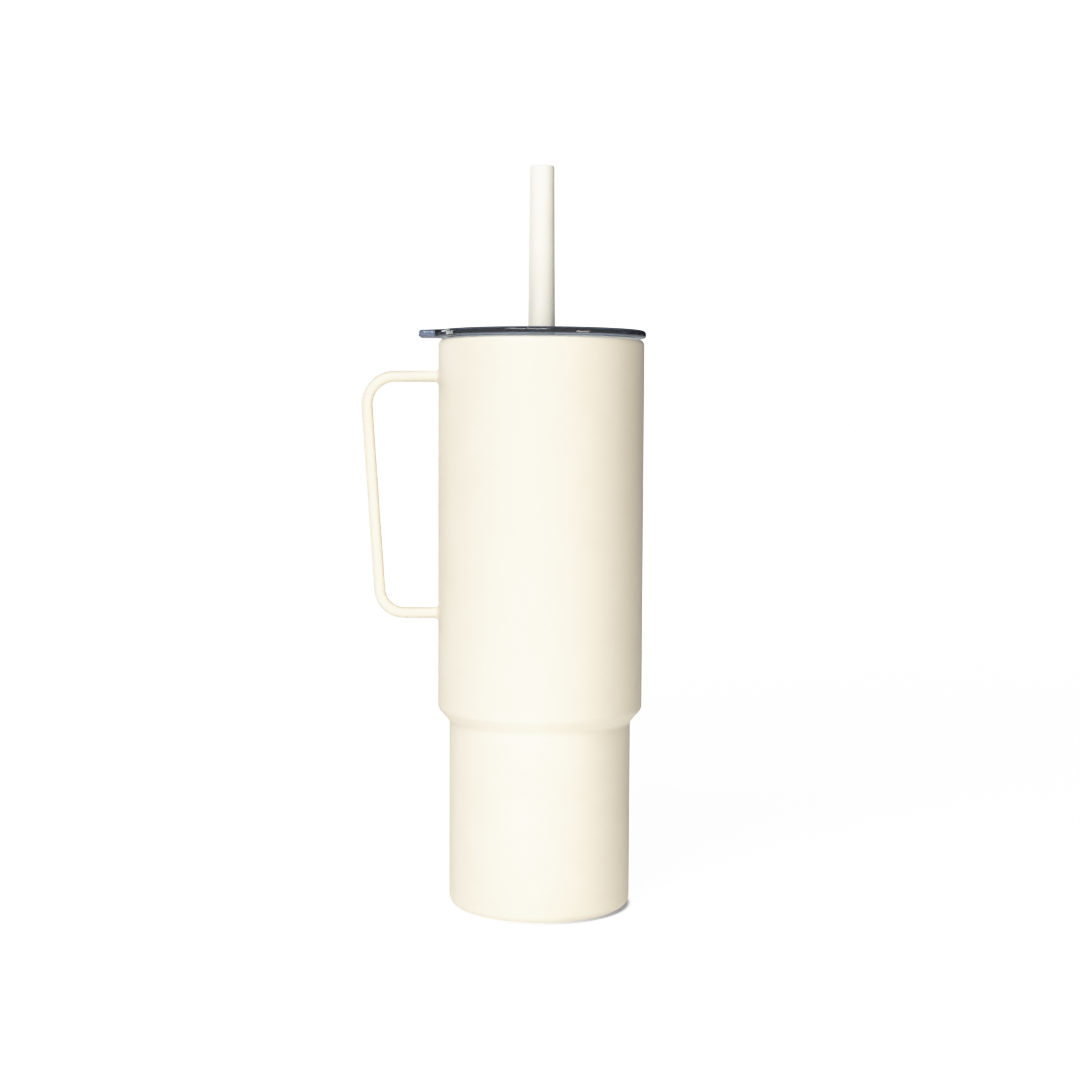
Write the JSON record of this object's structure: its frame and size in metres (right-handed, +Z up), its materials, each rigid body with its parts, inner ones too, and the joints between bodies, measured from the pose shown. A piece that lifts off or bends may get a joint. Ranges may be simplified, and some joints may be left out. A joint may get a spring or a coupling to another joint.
{
  "type": "insulated straw tumbler",
  "caption": "Double-walled tumbler with a stepped barrel, a bent-rod side handle, a clear press-in lid with a thumb tab, and an upright straw.",
  "frame": {"origin": "on the vessel's axis in the plane that it stands on, which is 0.35 mm below the flat base cover", "axes": "+Z up the vessel's axis to the straw's tip; the handle and the lid's thumb tab are at -X; -Y is the side seen with the handle on the left"},
  "size_m": [0.12, 0.088, 0.3124],
  "materials": {
    "powder_coat": "matte powder coat",
    "bare_steel": "satin",
    "copper_foil": "bright foil",
    "getter_alloy": "sintered",
    "seal_glass": "fused bead",
    "smoked_plastic": "clear, smoke-tinted, polished",
    "clear_silicone": "satin",
    "cream_silicone": "matte",
    "frosted_tube": "frosted"
  },
  "bodies": {
    "vessel": {"outer_shell": "powder_coat", "inner_liner": "bare_steel", "inner_base": "bare_steel", "foil_wrap": "copper_foil", "outer_base": "bare_steel", "vacuum_seal": "seal_glass", "getter_pellet": "getter_alloy", "getter_strap": "bare_steel", "base_cover": "bare_steel", "handle_rod": "powder_coat", "upper_weld": "powder_coat", "lower_weld": "powder_coat"},
    "lid_seal": {"lid_gasket": "clear_silicone"},
    "lid": {"lid_plate": "smoked_plastic"},
    "straw": {"straw_mouthpiece": "cream_silicone", "straw_tube": "frosted_tube"}
  },
  "joints": [
    {"name": "lid_lift", "type": "slide", "parent": "vessel", "child": "lid_seal", "axis": [0, 0, 1], "range_m": [0, 0.24]},
    {"name": "lid_turn", "type": "hinge", "parent": "lid_seal", "child": "lid", "pos_m": [0, 0, 0.2407], "axis": [0, 0, 1], "continuous": true},
    {"name": "straw_slide", "type": "slide", "parent": "lid", "child": "straw", "axis": [0, 0, 1], "range_m": [0, 0.0096]}
  ]
}
